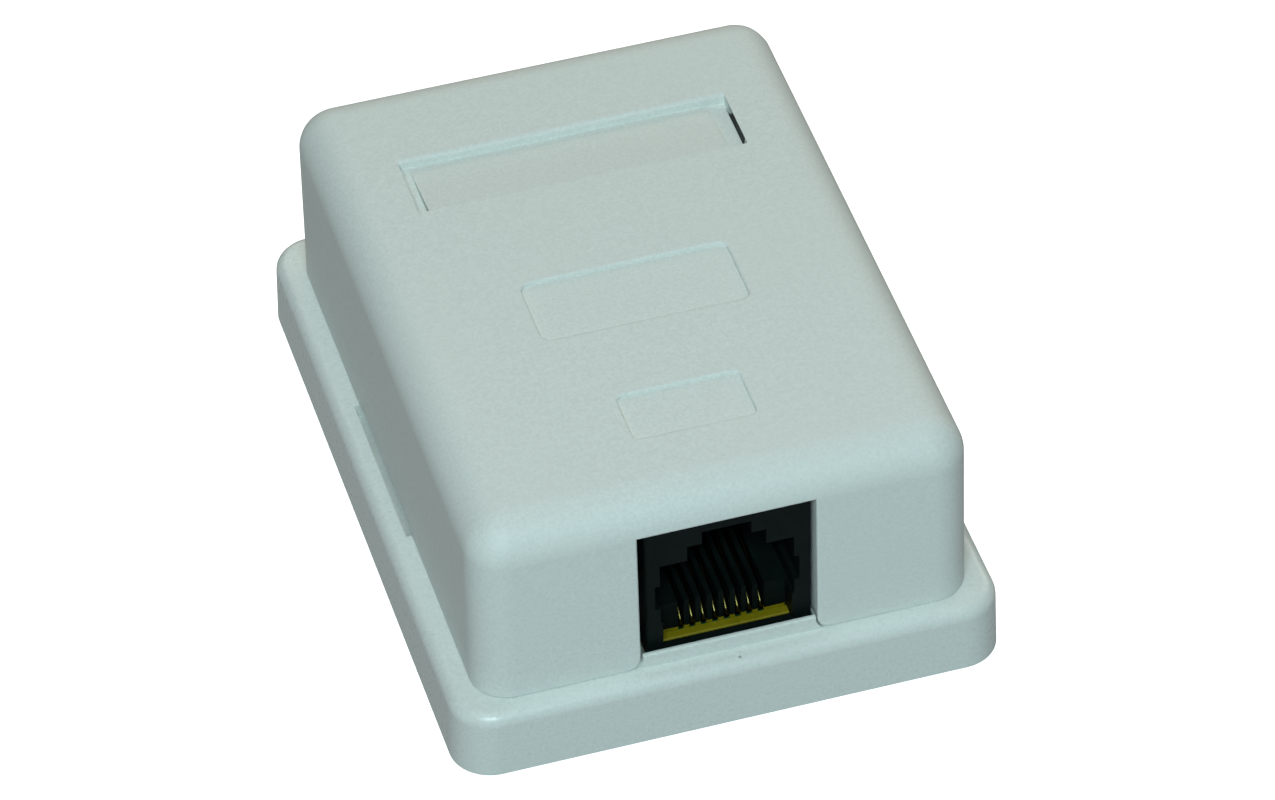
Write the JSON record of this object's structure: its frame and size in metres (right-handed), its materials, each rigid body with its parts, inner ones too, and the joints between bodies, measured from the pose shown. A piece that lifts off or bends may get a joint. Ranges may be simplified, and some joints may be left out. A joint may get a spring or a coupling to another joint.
{
  "type": "surface mount jack box",
  "caption": "White surface mount box with a flanged base, a clip-on cover with rounded edges and shallow recesses, and a modular jack at its front edge.",
  "frame": {"origin": "middle of the base's back face, where the box meets the wall or desk", "axes": "+Z out of the wall through the cover, jack on the -Y side, X along the width"},
  "size_m": [0.049, 0.065, 0.025],
  "materials": {
    "white_plastic": "fine spark texture, satin",
    "black_plastic": "moulded, satin",
    "yellow_plastic": "moulded, satin",
    "gold_contact": "gold plated, polished",
    "tin_clip": "tin plated",
    "board": "green solder mask",
    "block_plastic": "moulded, smooth",
    "zinc_steel": "zinc plated"
  },
  "bodies": {
    "base": {"base": "white_plastic", "pcb": "board", "jack_housing": "black_plastic", "contact_carrier": "yellow_plastic", "contact_1": "gold_contact", "contact_2": "gold_contact", "contact_3": "gold_contact", "contact_4": "gold_contact", "contact_5": "gold_contact", "contact_6": "gold_contact", "contact_7": "gold_contact", "contact_8": "gold_contact", "idc_block_left": "block_plastic", "idc_block_right": "block_plastic", "idc_clip_1": "tin_clip", "idc_clip_2": "tin_clip", "idc_clip_3": "tin_clip", "idc_clip_4": "tin_clip", "idc_clip_5": "tin_clip", "idc_clip_6": "tin_clip", "idc_clip_7": "tin_clip", "idc_clip_8": "tin_clip", "pcb_screws": "zinc_steel"},
    "cover": {"cover": "white_plastic"}
  },
  "joints": [
    {"name": "cover_lift", "type": "slide", "parent": "base", "child": "cover", "axis": [0, 0, 1], "range_m": [0, 0.03]}
  ]
}
